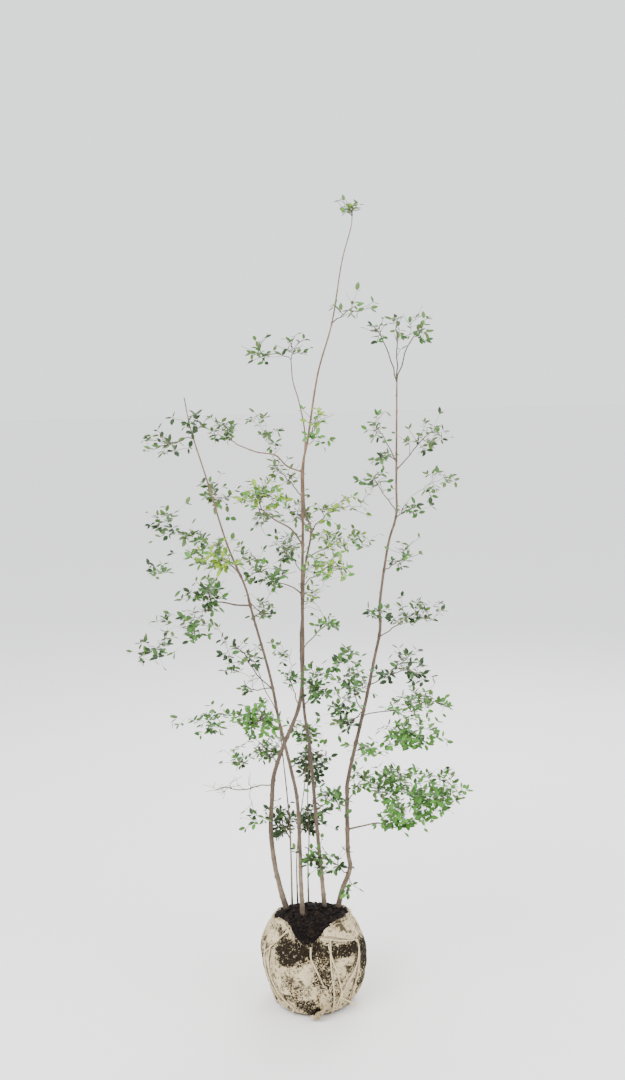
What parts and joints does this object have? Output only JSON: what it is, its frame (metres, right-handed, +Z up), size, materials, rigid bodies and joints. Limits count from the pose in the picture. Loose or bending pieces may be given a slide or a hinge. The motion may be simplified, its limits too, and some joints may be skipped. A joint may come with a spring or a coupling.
{
  "type": "multi-stem sapling with root ball",
  "caption": "Slender leafy sapling with several stems from one foot, lifted for planting, standing on a soil ball wrapped in burlap and tied with twine.",
  "frame": {"origin": "middle of the flat underside of the root ball, where it rests on the ground", "axes": "+Z up along the stems, -Y towards the viewer, +X to the viewer's right"},
  "size_m": [0.8104, 0.6205, 1.9545],
  "materials": {
    "soil": "moist crumbly earth",
    "burlap": "coarse woven, mud stained",
    "twine": "twisted natural fibre",
    "bark": "smooth thin bark",
    "foliage": "thin satin leaves"
  },
  "bodies": {
    "root": {"root_ball_soil": "soil", "burlap_wrap": "burlap", "binding_twine": "twine", "stem_left_foot": "bark", "stem_front": "bark", "stem_middle": "bark", "stem_right": "bark", "sucker_left": "bark", "sucker_middle": "bark", "sucker_back": "bark", "bough_high_left": "bark", "bough_upper_left": "bark", "bough_middle_left": "bark", "bough_far_left": "bark", "bough_front_left": "bark", "bough_low_right": "bark", "spray_right_top": "foliage", "spray_right_upper_left": "foliage", "spray_right_upper": "foliage", "spray_right_far": "foliage", "spray_right_inward": "foliage", "spray_right_front": "foliage", "spray_right_middle": "foliage", "spray_right_twig": "foliage", "spray_right_low_front": "foliage", "spray_right_low_back": "foliage", "spray_right_low": "foliage", "spray_right_deep": "foliage", "spray_right_outer": "foliage", "spray_right_foot": "foliage", "spray_middle_tuft": "foliage", "spray_middle_right": "foliage", "spray_middle_low": "foliage", "spray_sucker_back": "foliage", "spray_middle_foot": "foliage", "spray_sucker_left": "foliage", "spray_sucker_middle": "foliage", "spray_middle_base": "foliage", "spray_left_low": "foliage", "spray_left_low_back": "foliage", "spray_left_bare": "foliage", "spray_left_middle": "foliage", "spray_centre_low": "foliage", "spray_left_inner": "foliage", "spray_left_upper": "foliage", "spray_left_far": "foliage", "spray_centre_left": "foliage", "spray_upper_left": "foliage", "spray_upper_back": "foliage", "spray_centre_back": "foliage", "spray_centre_upper": "foliage", "spray_centre_right": "foliage", "spray_centre_front": "foliage", "spray_high_left": "foliage", "spray_high": "foliage", "spray_left_leader": "foliage", "spray_leader_side": "foliage", "spray_leader_top": "foliage", "spray_left_top": "foliage"}
  },
  "joints": []
}
